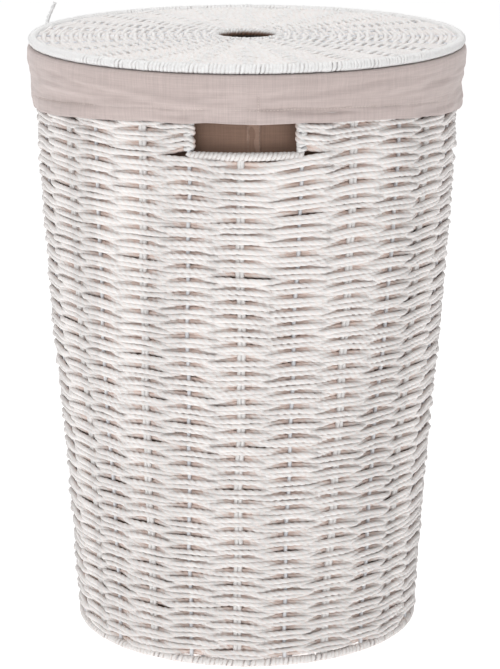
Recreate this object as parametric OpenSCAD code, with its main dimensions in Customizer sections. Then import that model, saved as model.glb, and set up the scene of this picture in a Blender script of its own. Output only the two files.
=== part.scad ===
// Round woven laundry basket: a welded wire frame woven over with paper cord,
// a cloth liner folded over the rim, and a loose woven lid with a finger hole.
// Origin at the middle of the foot ring, +Z up, the front handle towards -Y.

/* [Wall] */
// Outer diameter of the wall at the floor
wall_base_d = 325; // [315:1:330]
// Outer diameter of the wall at the shoulder, under the handle bars
wall_shoulder_d = 385.6; // [380:0.2:386]
// Outer diameter of the wall at the rim
wall_rim_d = 387.6; // [386:0.2:388]
// Height of the rim hoop's centre
rim_z = 543.2; // [538:0.2:543.2]
// Height of the middle hoop's centre
mid_hoop_z = 274; // [260:1:340]

/* [Cord and wire] */
// Thickness of the paper cord that everything is woven from
cord_d = 4; // [3.6:0.1:4.2]
// Thickness of the upright wires
wire_d = 3.5; // [3:0.1:3.6]
// Thickness of the hoops' and handle bars' wire
hoop_wire_d = 4; // [3:0.1:4.2]
// Thickness of the middle hoop's wire
mid_wire_d = 3; // [2:0.1:3.4]
// Thickness of a hoop with cord wound round it
wrapped_d = 8.6; // [8:0.1:8.8]
// Number of uprights, half of them wire and half of them pairs of cord
upright_count = 24; // [24]

/* [Base] */
// Radius of the foot ring
foot_r = 158; // [157:0.5:159]
// Height of the foot ring's centre
foot_z = 4.1; // [4:0.05:4.2]
// Height of the base's middle plane
base_mid_z = 7.2; // [7:0.1:7.5]
// Radius of the small ring that the base wires are welded to
hub_r = 12; // [12:0.5:14]
// Radius at which pairs of cord join the base's wires
cord_spoke_start_r = 62; // [55:1:80]

/* [Handles] */
// Angle from a handle's middle to the wire at each side of it
handle_half_angle = 15; // [15]
// Height of the handle bar's centre
bar_z = 477; // [474:0.5:480]
// Thickness of the bar with cord wound round it
bar_wrapped_d = 8; // [7:0.1:8.2]
// Thickness of the wound wires at the sides of a handle
side_wrapped_d = 9; // [8:0.1:9.2]
// Height of the top of the handle openings
handle_top_z = 523; // [518:0.5:526]

/* [Liner] */
// Thickness of the cloth
cloth_t = 1.2; // [1:0.1:1.4]
// Space between the bag and the inside of the wall
liner_gap = 8; // [7.5:0.1:8.5]
// Height of the cuff's lower edge
cuff_bottom_z = 505; // [500:1:508]
// Height of the hem at the cuff's lower edge
hem_h = 12; // [10:0.5:14]
// Width of the seam allowance down the bag
seam_w = 12; // [8:1:15]

/* [Lid] */
// Outer diameter of the lid
lid_d = 400; // [396:1:404]
// Height of the lid's middle plane when it is closed
lid_z = 553.8; // [553.8:0.1:556]
// Thickness of the lid's hoop with cord wound round it
lid_wrapped_d = 8.8; // [8:0.1:9]
// Thickness of the woven lid
lid_weave_t = 8.4; // [8:0.1:8.6]
// Number of spokes in the lid
lid_spoke_count = 24; // [16:4:28]
// Thickness of the lid's spokes
lid_spoke_d = 3; // [2.5:0.1:3.2]
// Clear radius of the finger hole
finger_hole_r = 26; // [22:1:36]
// Thickness of the finger hole's ring with cord wound round it
finger_wrapped_d = 7.6; // [7:0.1:8]

/* [Hidden] */
$fn = 96;

// Room between a piece and the piece that it is threaded through
slack = 0.15;
// Room between two pieces that lie against each other
touch = 0.3;
// How much thicker than the wire or cord the knuckle at an upright's bend is
knuckle = 0.1;

// Wall: the outside radius at any height, and the uprights' radius in the middle of the wall
wall_t = 2 * cord_d + wire_d;
bar_bottom_z = bar_z - bar_wrapped_d / 2;
bar_top_z = bar_z + bar_wrapped_d / 2;
side_band_bottom_z = bar_bottom_z - 1.5;
shoulder_z = side_band_bottom_z - touch / 2;
function wall_r(z) = lookup(z, [
  [0, wall_base_d / 2],
  [shoulder_z, wall_shoulder_d / 2],
  [rim_z, wall_rim_d / 2]
]);
function stake_r(z) = wall_r(z) - wall_t / 2;
function bag_r(z) = wall_r(z) - wall_t - liner_gap;
// Two heights, with the shoulder's between them if it lies there
function stations(z0, z1) = shoulder_z > z0 && shoulder_z < z1 ? [z0, shoulder_z, z1] : [z0, z1];
wall_bottom_z = base_mid_z + wire_d / 2 + touch / 2;
mid_gap = mid_wire_d / 2 + 0.5;
rim_r = stake_r(rim_z);
rim_wrap_bottom_z = rim_z - wrapped_d / 2;
stake_foot_z = foot_z + hoop_wire_d / 2;
wire_top_z = rim_z - hoop_wire_d / 2 - 0.1;

// Uprights: pairs of cord at the even places, counted from the front, and wires between them
pitch_angle = 360 / upright_count;
wire_angles = [for (i = [1 : 2 : upright_count - 1]) i * pitch_angle];
pair_angles = [for (i = [0 : 2 : upright_count - 2]) i * pitch_angle];
handle_pair_angles = [0, 180];
pair_offset = cord_d / 2 + knuckle + 0.02;
front = -90;

// Handles: the bar ends at the side wires, and the side bands stop short of the wound wires
bar_half_angle = handle_half_angle - (wire_d / 2 + touch) * 180 / (PI * stake_r(bar_z));
side_band_half_angle = handle_half_angle + (side_wrapped_d / 2 + touch) * 180 / (PI * stake_r(bar_z));

// Base: the rods stop at the foot ring
spoke_end_r = foot_r - hoop_wire_d / 2 - 1.6;
base_weave_in_r = hub_r + wire_d / 2 + touch;
base_weave_out_r = wall_r(wall_bottom_z) - wall_t - touch;
base_weave_top_z = base_mid_z + wall_t / 2 - 0.5;
base_weave_bottom_z = base_mid_z - wall_t / 2 + 0.5;

// Liner: the bag's lowest edge, its last straight point, and the cuff's crest over the rim
bag_floor_z = base_weave_top_z + 0.5;
bag_shoulder_z = 525;
crest_r = wrapped_d / 2 + touch + cloth_t / 2;
crest_z = rim_z + crest_r;
cuff_out_r = 200.3;
cuff_bend_r = 3.5;
cuff_low_r = 196.9;
hem_t = 0.8;
elastic_t = 0.6;
elastic_h = 7;
hem_r = cuff_low_r - cloth_t / 2 - 1.1;

// Lid
lid_hoop_r = lid_d / 2 - lid_wrapped_d / 2;
finger_ring_r = finger_hole_r + finger_wrapped_d / 2;
lid_weave_out_r = lid_hoop_r - lid_wrapped_d / 2 - touch;
lid_weave_in_r = finger_ring_r + finger_wrapped_d / 2 + touch;

// Tail of the cord wound round the lid's hoop: it comes up outside the hoop and leans over it
tail_d = 3.8;
tail_sides = 8;
tail_route = [
  [-189.6, 74.2, 543],
  [-189.6, 74.3, 549],
  [-189, 74.4, 555],
  [-187.8, 74.6, 560],
  [-186.2, 74.9, 564],
  [-184.4, 75.2, 568],
  [-182.5, 75.6, 572],
  [-180.7, 76, 575.6]
];

white_cord = [0.93, 0.93, 0.92];
blue_wire = [0.63, 0.67, 0.71];
beige_cloth = [0.79, 0.73, 0.70];

// A straight rod in the X-Z plane from one radius and height to another
module rod(r0, z0, r1, z1, d, grow = 0) {
  h = norm([r1 - r0, z1 - z0]);
  translate([r0, 0, z0])
    rotate([0, atan2(r1 - r0, z1 - z0), 0])
      translate([0, 0, -grow])
        cylinder(d = d, h = h + 2 * grow);
}

// An upright in the middle of the wall, bent at the shoulder
module upright(z0, z1, d, grow = 0) {
  s = stations(z0, z1);
  for (i = [0 : len(s) - 2])
    rod(stake_r(s[i]), s[i], stake_r(s[i + 1]), s[i + 1], d, grow);
  if (len(s) > 2)
    translate([stake_r(s[1]), 0, s[1]])
      sphere(d = d + 2 * knuckle);
}

module cord_pair_upright(z0, z1, d, grow = 0) {
  for (side = [-1, 1])
    translate([0, side * pair_offset, 0])
      upright(z0, z1, d, grow);
}

// Sets its children at each angle, counted from the front
module at_angles(angles) {
  for (a = angles)
    rotate([0, 0, front + a])
      children();
}

// The holes that the uprights run through, between two heights
module upright_channels(z0, z1, half_angle = 0) {
  reach = 2;
  at_angles([for (a = wire_angles) if (clear_of_handle(a, half_angle)) a])
    upright(z0, z1, wire_d + 2 * slack, reach);
  at_angles([for (a = pair_angles) if (clear_of_handle(a, half_angle)) a])
    cord_pair_upright(z0, z1, cord_d + 2 * slack, reach);
}

function clear_of_handle(a, half_angle) =
  min([for (h = [0, 180, 360]) abs(a - h)]) >= half_angle;

// A stretch of the wall, as one closed band round the basket or part of the way round
module wall_band(z0, z1, start = 0, sweep = 360) {
  s = stations(z0, z1);
  n = len(s) - 1;
  outline = concat(
    [for (i = [0 : n]) [wall_r(s[i]) - wall_t, s[i]]],
    [for (i = [n : -1 : 0]) [wall_r(s[i]), s[i]]]
  );
  rotate([0, 0, start])
    rotate_extrude(angle = sweep)
      polygon(outline);
}

// A wire bent into a ring, and the tube of cord wound round it
module ring(r, z, d) {
  translate([0, 0, z])
    rotate_extrude()
      translate([r, 0])
        circle(d = d);
}

module wound_tube(r, z, d, wire) {
  translate([0, 0, z])
    rotate_extrude()
      translate([r, 0])
        difference() {
          circle(d = d);
          circle(d = wire + 2 * slack);
        }
}

// A level rod along a radius
module spoke(r0, r1, z, d) {
  translate([r0, 0, z])
    rotate([0, 90, 0])
      cylinder(d = d, h = r1 - r0);
}

// A strip of cloth as thick as t along a path of [radius, height] points
function unit(v) = v / norm(v);
function side_of(v) = [-v[1], v[0]];
function path_side(p, i) = unit(
  side_of(unit(p[min(i + 1, len(p) - 1)] - p[max(i - 1, 0)]))
);
function strip(p, t) = concat(
  [for (i = [0 : len(p) - 1]) p[i] + path_side(p, i) * t / 2],
  [for (i = [len(p) - 1 : -1 : 0]) p[i] - path_side(p, i) * t / 2]
);
function arc_points(c, r, a0, a1, n) = [
  for (i = [0 : n]) c + r * [cos(a0 + (a1 - a0) * i / n), sin(a0 + (a1 - a0) * i / n)]
];

// --- Base ---

module base_hoop() {
  color(blue_wire)
    ring(foot_r, foot_z, hoop_wire_d);
}

module base_hoop_wrap() {
  color(white_cord)
    difference() {
      rotate_extrude()
        intersection() {
          translate([foot_r, foot_z])
            difference() {
              circle(d = wrapped_d);
              circle(d = hoop_wire_d + 2 * slack);
            }
          translate([foot_r - wrapped_d, 0])
            square([2 * wrapped_d, 2 * wrapped_d]);
        }
      at_angles(wire_angles) {
        upright(stake_foot_z - 0.5, foot_z + wrapped_d, wire_d + 2 * slack);
        spoke(foot_r - wrapped_d, spoke_end_r + 0.3, base_mid_z, wire_d + 2 * slack);
      }
    }
}

module base_hub_ring() {
  color(blue_wire)
    ring(hub_r, base_mid_z, wire_d);
}

module base_spokes() {
  color(blue_wire)
    at_angles(wire_angles)
      spoke(hub_r + wire_d / 2 + 0.05, spoke_end_r, base_mid_z, wire_d);
}

module base_cord_spokes() {
  color(white_cord)
    at_angles(pair_angles)
      for (side = [-1, 1])
        translate([0, side * pair_offset, 0])
          spoke(cord_spoke_start_r, base_weave_out_r, base_mid_z, cord_d);
}

module base_weave() {
  reach = 2;
  color(white_cord)
    difference() {
      translate([0, 0, base_weave_bottom_z])
        cylinder(r = base_weave_out_r, h = base_weave_top_z - base_weave_bottom_z);
      translate([0, 0, base_weave_bottom_z - 1])
        cylinder(r = base_weave_in_r, h = wall_t + 2);
      at_angles(wire_angles)
        spoke(base_weave_in_r - reach, base_weave_out_r + reach, base_mid_z, wire_d + 2 * slack);
      at_angles(pair_angles)
        for (side = [-1, 1])
          translate([0, side * pair_offset, 0])
            spoke(
              cord_spoke_start_r - slack, base_weave_out_r + reach, base_mid_z,
              cord_d + 2 * slack
            );
    }
}

// --- Frame and uprights ---

module wire_stakes() {
  color(blue_wire)
    at_angles(wire_angles)
      upright(stake_foot_z + 0.1, wire_top_z, wire_d);
}

module cord_stakes() {
  ordinary = [for (a = pair_angles) if (len(search(a, handle_pair_angles)) == 0) a];
  color(white_cord) {
    at_angles(ordinary)
      cord_pair_upright(wall_bottom_z, rim_wrap_bottom_z - touch, cord_d);
    at_angles(handle_pair_angles) {
      cord_pair_upright(wall_bottom_z, shoulder_z, cord_d);
      cord_pair_upright(handle_top_z + touch, rim_wrap_bottom_z - touch, cord_d);
    }
  }
}

module mid_hoop() {
  color(blue_wire)
    ring(stake_r(mid_hoop_z) - cord_d / 2 - mid_wire_d / 2 - 0.1, mid_hoop_z, mid_wire_d);
}

module rim_hoop() {
  color(blue_wire)
    ring(rim_r, rim_z, hoop_wire_d);
}

module rim_wrap() {
  color(white_cord)
    difference() {
      wound_tube(rim_r, rim_z, wrapped_d, hoop_wire_d);
      at_angles(wire_angles)
        upright(rim_z - wrapped_d, rim_z - hoop_wire_d / 2 + 0.5, wire_d + 2 * slack);
    }
}

// --- Handles ---

module bar_arc(d, middle) {
  translate([0, 0, bar_z])
    rotate([0, 0, front + middle - bar_half_angle])
      rotate_extrude(angle = 2 * bar_half_angle)
        translate([stake_r(bar_z), 0])
          circle(d = d);
}

module bar_wrap(middle) {
  translate([0, 0, bar_z])
    rotate([0, 0, front + middle - bar_half_angle])
      rotate_extrude(angle = 2 * bar_half_angle)
        translate([stake_r(bar_z), 0])
          difference() {
            circle(d = bar_wrapped_d);
            circle(d = hoop_wire_d + 2 * slack);
          }
}

module handle_bar_front() {
  color(blue_wire) bar_arc(hoop_wire_d, 0);
}

module handle_bar_back() {
  color(blue_wire) bar_arc(hoop_wire_d, 180);
}

module handle_wrap_front() {
  color(white_cord) bar_wrap(0);
}

module handle_wrap_back() {
  color(white_cord) bar_wrap(180);
}

module handle_side_wraps() {
  low_z = bar_top_z + touch;
  high_z = handle_top_z - touch;
  color(white_cord)
    at_angles([for (h = handle_pair_angles) for (s = [-1, 1]) h + s * handle_half_angle])
      difference() {
        upright(low_z, high_z, side_wrapped_d);
        upright(low_z - 2, high_z + 2, wire_d + 2 * slack);
      }
}

// --- Woven wall ---

module woven_band(z0, z1, start = 0, sweep = 360, half_angle = 0) {
  color(white_cord)
    difference() {
      wall_band(z0, z1, start, sweep);
      upright_channels(z0, z1, half_angle);
    }
}

module weave_lower() {
  woven_band(wall_bottom_z, mid_hoop_z - mid_gap);
}

module weave_upper() {
  woven_band(mid_hoop_z + mid_gap, side_band_bottom_z - touch);
}

module side_band(middle) {
  half_sweep = 90 - side_band_half_angle;
  woven_band(
    side_band_bottom_z, handle_top_z, middle - half_sweep, 2 * half_sweep,
    side_band_half_angle
  );
}

module weave_left() {
  side_band(180);
}

module weave_right() {
  side_band(0);
}

module weave_top() {
  woven_band(handle_top_z + touch, rim_wrap_bottom_z - touch);
}

// --- Liner ---

module liner_bag() {
  hoop_centre = [rim_r, rim_z];
  path = concat(
    [for (z = stations(bag_floor_z, bag_shoulder_z)) [bag_r(z), z]],
    arc_points(hoop_centre, crest_r, 180, 92, 8)
  );
  color(beige_cloth)
    rotate_extrude()
      polygon(strip(path, cloth_t));
}

module liner_base() {
  color(beige_cloth)
    translate([0, 0, bag_floor_z])
      cylinder(r = bag_r(bag_floor_z) - cloth_t / 2 - touch, h = cloth_t);
}

module liner_cuff() {
  bend_centre = [cuff_out_r - cuff_bend_r, crest_z - cuff_bend_r];
  path = concat(
    [[rim_r + 0.3, crest_z]],
    arc_points(bend_centre, cuff_bend_r, 90, 0, 8),
    [[cuff_low_r + 0.5, cuff_bottom_z + 15], [cuff_low_r, cuff_bottom_z]]
  );
  color(beige_cloth)
    rotate_extrude()
      polygon(strip(path, cloth_t));
}

module liner_hem() {
  color(beige_cloth)
    translate([0, 0, cuff_bottom_z])
      difference() {
        cylinder(r = hem_r, h = hem_h);
        translate([0, 0, -1])
          cylinder(r = hem_r - hem_t, h = hem_h + 2);
      }
}

module liner_elastic() {
  color([0.95, 0.95, 0.94])
    translate([0, 0, cuff_bottom_z + 2])
      difference() {
        cylinder(r = hem_r + 0.1 + elastic_t, h = elastic_h);
        translate([0, 0, -1])
          cylinder(r = hem_r + 0.1, h = elastic_h + 2);
      }
}

module liner_seam() {
  strip_t = 0.8;
  s = stations(bag_floor_z + 2, bag_shoulder_z - 5);
  gap = cloth_t / 2 + 0.1;
  outline = concat(
    [for (i = [0 : len(s) - 1]) [bag_r(s[i]) + gap, s[i]]],
    [for (i = [len(s) - 1 : -1 : 0]) [bag_r(s[i]) + gap + strip_t, s[i]]]
  );
  sweep = seam_w * 180 / (PI * bag_r(shoulder_z));
  color(beige_cloth)
    rotate([0, 0, front])
      rotate_extrude(angle = sweep)
        polygon(outline);
}

// --- Lid ---

module lid_hoop() {
  color(blue_wire)
    ring(lid_hoop_r, lid_z, hoop_wire_d);
}

module lid_spoke_channels(r0, r1) {
  for (i = [0 : lid_spoke_count - 1])
    rotate([0, 0, i * 360 / lid_spoke_count])
      spoke(r0, r1, lid_z, lid_spoke_d + 2 * slack);
}

module lid_rim_wrap() {
  color(white_cord)
    difference() {
      wound_tube(lid_hoop_r, lid_z, lid_wrapped_d, hoop_wire_d);
      lid_spoke_channels(lid_hoop_r - lid_wrapped_d, lid_hoop_r - 1);
    }
}

module lid_spokes() {
  start_r = finger_ring_r + mid_wire_d / 2 + 0.05;
  end_r = lid_hoop_r - hoop_wire_d / 2 - 0.3;
  color(blue_wire)
    for (i = [0 : lid_spoke_count - 1])
      rotate([0, 0, i * 360 / lid_spoke_count])
        spoke(start_r, end_r, lid_z, lid_spoke_d);
}

module lid_weave() {
  color(white_cord)
    difference() {
      translate([0, 0, lid_z - lid_weave_t / 2])
        cylinder(r = lid_weave_out_r, h = lid_weave_t);
      translate([0, 0, lid_z - lid_weave_t])
        cylinder(r = lid_weave_in_r, h = 2 * lid_weave_t);
      lid_spoke_channels(lid_weave_in_r - 2, lid_weave_out_r + 2);
    }
}

module finger_ring() {
  color(blue_wire)
    ring(finger_ring_r, lid_z, mid_wire_d);
}

module finger_ring_wrap() {
  color(white_cord)
    difference() {
      wound_tube(finger_ring_r, lid_z, finger_wrapped_d, mid_wire_d);
      lid_spoke_channels(finger_ring_r + 1, finger_ring_r + finger_wrapped_d);
    }
}

// A tube of tail_sides sides along the route's points
function along(p, i) = unit(p[min(i + 1, len(p) - 1)] - p[max(i - 1, 0)]);
function tube_points(p, d, sides) = [
  for (i = [0 : len(p) - 1])
    let (t = along(p, i), u = unit(cross(t, [0, 1, 0])), w = cross(t, u))
      for (k = [0 : sides - 1])
        p[i] + d / 2 * (cos(k * 360 / sides) * u + sin(k * 360 / sides) * w)
];
function tube_faces(rings, sides) = concat(
  [[for (k = [0 : sides - 1]) k]],
  [for (i = [0 : rings - 2]) for (k = [0 : sides - 1])
    [
      i * sides + k, (i + 1) * sides + k,
      (i + 1) * sides + (k + 1) % sides, i * sides + (k + 1) % sides
    ]],
  [[for (k = [sides - 1 : -1 : 0]) (rings - 1) * sides + k]]
);

module lid_tail() {
  color(white_cord)
    polyhedron(
      points = tube_points(tail_route, tail_d, tail_sides),
      faces = tube_faces(len(tail_route), tail_sides),
      convexity = 4
    );
}

base_hoop();
base_hoop_wrap();
base_hub_ring();
base_spokes();
base_cord_spokes();
base_weave();
wire_stakes();
cord_stakes();
mid_hoop();
rim_hoop();
rim_wrap();
handle_bar_front();
handle_bar_back();
handle_wrap_front();
handle_wrap_back();
handle_side_wraps();
weave_lower();
weave_upper();
weave_left();
weave_right();
weave_top();
liner_bag();
liner_base();
liner_cuff();
liner_hem();
liner_elastic();
liner_seam();
lid_hoop();
lid_rim_wrap();
lid_spokes();
lid_weave();
finger_ring();
finger_ring_wrap();
lid_tail();
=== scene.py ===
import math

import bpy
import numpy as np
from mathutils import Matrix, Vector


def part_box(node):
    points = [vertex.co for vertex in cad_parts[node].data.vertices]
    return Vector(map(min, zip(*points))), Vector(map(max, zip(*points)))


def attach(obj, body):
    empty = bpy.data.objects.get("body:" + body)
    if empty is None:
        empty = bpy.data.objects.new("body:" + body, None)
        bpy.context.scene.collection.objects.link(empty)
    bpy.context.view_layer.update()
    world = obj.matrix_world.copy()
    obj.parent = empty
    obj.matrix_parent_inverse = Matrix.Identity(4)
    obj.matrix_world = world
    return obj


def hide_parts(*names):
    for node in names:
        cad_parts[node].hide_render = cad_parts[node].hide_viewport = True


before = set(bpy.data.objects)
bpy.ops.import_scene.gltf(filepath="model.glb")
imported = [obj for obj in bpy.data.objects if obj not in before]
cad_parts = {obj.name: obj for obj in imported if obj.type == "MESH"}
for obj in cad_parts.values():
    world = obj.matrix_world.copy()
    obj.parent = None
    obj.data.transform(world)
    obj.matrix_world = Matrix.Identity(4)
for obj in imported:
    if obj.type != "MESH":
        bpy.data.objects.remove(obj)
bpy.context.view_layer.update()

# Lengths are in millimetres until a mesh is made, unless a comment says metres. Angles about
# the basket are in degrees from the middle of the front handle, towards +X. A seed is a
# whole number that starts one run of random draws and means nothing else.
MM = 0.001
TURN = 2 * math.pi
UP = np.array([0.0, 0.0, 1.0])


# --- Numbers taken from the CAD frame ---

def corners(node):
    """Lowest and highest corner of a CAD node's box."""
    low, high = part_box(node)
    return np.array(low) / MM, np.array(high) / MM


def ring_of(node, thickness):
    """Radius and height of the centreline of a level ring."""
    low, high = corners(node)
    return high[0] - thickness / 2, (low[2] + high[2]) / 2


# Thicknesses as in part.scad: bare cord and wires, then hoops and bars with their winding
CORD_D = 4.0
WIRE_D = 3.5
HOOP_D = 4.0
MID_HOOP_D = 3.0
WRAPPED_D = 8.6
LID_WRAPPED_D = 8.8
FINGER_WRAPPED_D = 7.6
BAR_WRAPPED_D = 8.0
WALL_T = 2 * CORD_D + WIRE_D
STAKES = 24

FOOT_R, FOOT_Z = ring_of("base_hoop", HOOP_D)
RIM_R, RIM_Z = ring_of("rim_hoop", HOOP_D)
MID_Z = ring_of("mid_hoop", MID_HOOP_D)[1]
LID_R, LID_Z = ring_of("lid_hoop", HOOP_D)
FINGER_R, FINGER_Z = ring_of("finger_ring", MID_HOOP_D)
HUB_R, BASE_Z = ring_of("base_hub_ring", WIRE_D)
BAR_Z = sum(c[2] for c in corners("handle_wrap_front")) / 2
BAR_TOP = BAR_Z + BAR_WRAPPED_D / 2
SHOULDER_Z = corners("weave_upper")[1][2] + 0.15
SHOULDER_R = corners("weave_upper")[1][0]
WALL_BOTTOM = corners("weave_lower")[0][2]
BAND_TOP = corners("weave_top")[1][2]
HANDLE_TOP = corners("weave_left")[1][2]
CONE_FOOT_R = 162.5
BAG_FLOOR = corners("liner_bag")[0][2]
CLOTH_TOP = corners("liner_bag")[1][2]
CUFF_R = corners("liner_cuff")[1][0]
BASE_WEAVE_R = corners("base_weave")[1][0]
CORD_SPOKE_R = 62.0
LID_IN_R = FINGER_R + FINGER_WRAPPED_D / 2 + 0.3
LID_OUT_R = corners("lid_weave")[1][0]
CLOTH_T = 1.2
LINER_GAP = 8.0
HALF_HANDLE = 15.0


# --- Camera ---

# Fitted to the photo: place in metres, tilt in degrees, lens in mm on the 36 mm sensor
CAMERA_PLACE = (0.0029, -2.3967, 0.892)
CAMERA_TILT = 75.494
LENS = 141.28


def make_camera():
    data = bpy.data.cameras.new("camera")
    data.sensor_width = 36
    data.lens = LENS
    data.clip_start = 0.05
    data.clip_end = 300
    camera = bpy.data.objects.new("camera", data)
    camera.location = CAMERA_PLACE
    camera.rotation_euler = (math.radians(CAMERA_TILT), 0, 0)
    bpy.context.scene.collection.objects.link(camera)
    bpy.context.scene.camera = camera


make_camera()


# --- Materials ---

class Nodes:
    """A material's node tree, with a short way to add and join nodes."""

    def __init__(self, name):
        self.material = bpy.data.materials.new(name)
        self.material.use_nodes = True
        self.tree = self.material.node_tree
        self.tree.nodes.clear()
        self.shader = self.add("ShaderNodeBsdfPrincipled")
        output = self.add("ShaderNodeOutputMaterial")
        self.join(self.shader, "BSDF", output, "Surface")

    def add(self, kind, **values):
        node = self.tree.nodes.new(kind)
        for key, value in values.items():
            setattr(node, key, value)
        return node

    def join(self, a, out, b, into):
        self.tree.links.new(a.outputs[out], b.inputs[into])

    def noise(self, source, out, scale, detail=4, stretch=(1, 1, 1), roughness=0.5):
        mapping = self.add("ShaderNodeMapping")
        mapping.inputs["Scale"].default_value = stretch
        self.join(source, out, mapping, "Vector")
        noise = self.add("ShaderNodeTexNoise")
        noise.inputs["Scale"].default_value = scale
        noise.inputs["Detail"].default_value = detail
        noise.inputs["Roughness"].default_value = roughness
        self.join(mapping, "Vector", noise, "Vector")
        return noise

    def ramp(self, source, out, stops):
        ramp = self.add("ShaderNodeValToRGB")
        elements = ramp.color_ramp.elements
        while len(elements) < len(stops):
            elements.new(0.5)
        for element, (position, colour) in zip(elements, stops):
            element.position = position
            element.color = (*colour, 1)
        self.join(source, out, ramp, "Fac")
        return ramp

    def mix(self, factor, a, b, kind="MIX"):
        """Mixes two colours; each of factor, a and b is a (node, output) pair or a value."""
        mix = self.add("ShaderNodeMix", data_type="RGBA", blend_type=kind)
        slots = (mix.inputs[0], mix.inputs[6], mix.inputs[7])
        for value, socket in zip((factor, a, b), slots):
            if isinstance(value, tuple) and isinstance(value[0], bpy.types.Node):
                self.tree.links.new(value[0].outputs[value[1]], socket)
            elif isinstance(value, tuple):
                socket.default_value = (*value, 1)
            else:
                socket.default_value = value
        return mix

    def bump(self, source, out, strength, distance, under=None):
        bump = self.add("ShaderNodeBump")
        bump.inputs["Strength"].default_value = strength
        bump.inputs["Distance"].default_value = distance
        self.join(source, out, bump, "Height")
        if under is not None:
            self.join(under, "Normal", bump, "Normal")
        return bump

    def finish(self, colour, normal, roughness, sheen=0.0):
        self.tree.links.new(colour[0].outputs[colour[1]], self.shader.inputs["Base Color"])
        if normal is not None:
            self.join(normal, "Normal", self.shader, "Normal")
        self.shader.inputs["Roughness"].default_value = roughness
        self.shader.inputs["Sheen Weight"].default_value = sheen
        return self.material


def cord_material(name, paint, bare_and_shade, crevice=0.8):
    """Twisted paper cord under white paint. The shade attribute, times crevice, mixes it toward
    the bare tone: painted shade in its recesses, and bare paper where the spray didn't reach.
    """
    n = Nodes(name)
    place = n.add("ShaderNodeTexCoord")
    along = n.add("ShaderNodeUVMap", uv_map="along")
    patches = n.noise(place, "Object", 55, 3)
    tone = n.ramp(patches, "Fac", [(0.3, tuple(c * 0.965 for c in paint)), (0.7, paint)])
    fibre = n.noise(along, "UV", 1.0, 5, (0.9, 34, 1), 0.65)
    lines = n.ramp(fibre, "Fac", [(0.3, (0.9, 0.885, 0.88)), (0.6, (1, 1, 1))])
    painted = n.mix(1.0, (tone, "Color"), (lines, "Color"), "MULTIPLY")
    shade = n.add("ShaderNodeAttribute", attribute_name="shade")
    reach = n.add("ShaderNodeMath", operation="MULTIPLY")
    reach.inputs[1].default_value = crevice
    n.join(shade, "Fac", reach, 0)
    colour = n.mix((reach, 0), (painted, 2), bare_and_shade)
    fine = n.noise(place, "Object", 1400, 2)
    low = n.bump(fibre, "Fac", 0.6, 0.0004)
    normal = n.bump(fine, "Fac", 0.12, 0.0002, low)
    return n.finish((colour, 2), normal, 0.72, 0.05)


def wire_material():
    n = Nodes("painted_wire_finish")
    place = n.add("ShaderNodeTexCoord")
    blotches = n.noise(place, "Object", 120, 4)
    tone = n.ramp(blotches, "Fac", [(0.35, (0.60, 0.62, 0.655)), (0.62, (0.75, 0.76, 0.785))])
    drips = n.noise(place, "Object", 700, 3, (1, 1, 0.2))
    normal = n.bump(drips, "Fac", 0.2, 0.0004)
    return n.finish((tone, "Color"), normal, 0.42)


# Linen: width in metres of the threads that show, and their thick and thin runs per metre
THREAD_T = 0.0011
SLUBS = 28


def cloth_material(name, tone):
    """Plain-woven linen with thick and thin threads, along and across the cloth."""
    n = Nodes(name)
    uv = n.add("ShaderNodeUVMap", uv_map="along")
    warp = n.noise(uv, "UV", 1.0, 3, (1 / THREAD_T, SLUBS, 1), 0.6)
    weft = n.noise(uv, "UV", 1.0, 3, (SLUBS, 1 / THREAD_T, 1), 0.6)
    light = tuple(min(1.0, c * 1.12) for c in tone)
    dark = tuple(c * 0.84 for c in tone)
    across = n.ramp(warp, "Fac", [(0.32, dark), (0.68, light)])
    down = n.ramp(weft, "Fac", [(0.32, dark), (0.68, light)])
    threads = n.mix(0.5, (across, "Color"), (down, "Color"))
    patches = n.noise(uv, "UV", 9, 2)
    wash = n.ramp(patches, "Fac", [(0.3, (0.93, 0.92, 0.915)), (0.7, (1, 1, 1))])
    colour = n.mix(1.0, (threads, 2), (wash, "Color"), "MULTIPLY")
    first = n.bump(warp, "Fac", 0.3, 0.0004)
    normal = n.bump(weft, "Fac", 0.3, 0.0004, first)
    return n.finish((colour, 2), normal, 0.88, 0.25)


def thread_material(name, tone):
    n = Nodes(name)
    place = n.add("ShaderNodeTexCoord")
    fuzz = n.noise(place, "Object", 2200, 2)
    colour = n.ramp(fuzz, "Fac", [(0.3, tuple(c * 0.9 for c in tone)), (0.7, tone)])
    normal = n.bump(fuzz, "Fac", 0.3, 0.0002)
    return n.finish((colour, "Color"), normal, 0.8)


WHITE = (0.84, 0.828, 0.82)
LID_WHITE = (0.84, 0.845, 0.846)
# The bare tone stands for painted shade in the cords' recesses and strand valleys, and for bare
# paper where the paint didn't reach; crevice sets how strongly a finish takes it
BARE_AND_SHADE = (0.84, 0.655, 0.575)
CORD = cord_material("white_cord_finish", WHITE, BARE_AND_SHADE)
LID_CORD = cord_material("lid_cord_finish", LID_WHITE, BARE_AND_SHADE, 0.32)
# A dark brown painted as shade on the finger ring's low inner side, down in the finger hole
HOLE_SHADE_BROWN = (0.26, 0.145, 0.09)
FINGER_CORD = cord_material("finger_ring_shaded_finish", LID_WHITE, HOLE_SHADE_BROWN, 1.0)
WIRE = wire_material()
LINEN = cloth_material("linen_finish", (0.515, 0.432, 0.412))
# The bag, its seam strip and the bag's thread are the liner's linen and thread darkened: painted
# shade for the inside of the basket
SHADED_BAG_LINEN = cloth_material("bag_linen_shaded_finish", (0.285, 0.178, 0.13))
SHADED_SEAM_LINEN = cloth_material("seam_linen_shaded_finish", (0.36, 0.235, 0.18))
THREAD = thread_material("thread_finish", (0.66, 0.58, 0.54))
SHADED_BAG_THREAD = thread_material("bag_thread_shaded_finish", (0.40, 0.29, 0.235))
ELASTIC = thread_material("elastic_finish", (0.80, 0.79, 0.77))


# --- Mesh code ---

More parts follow.
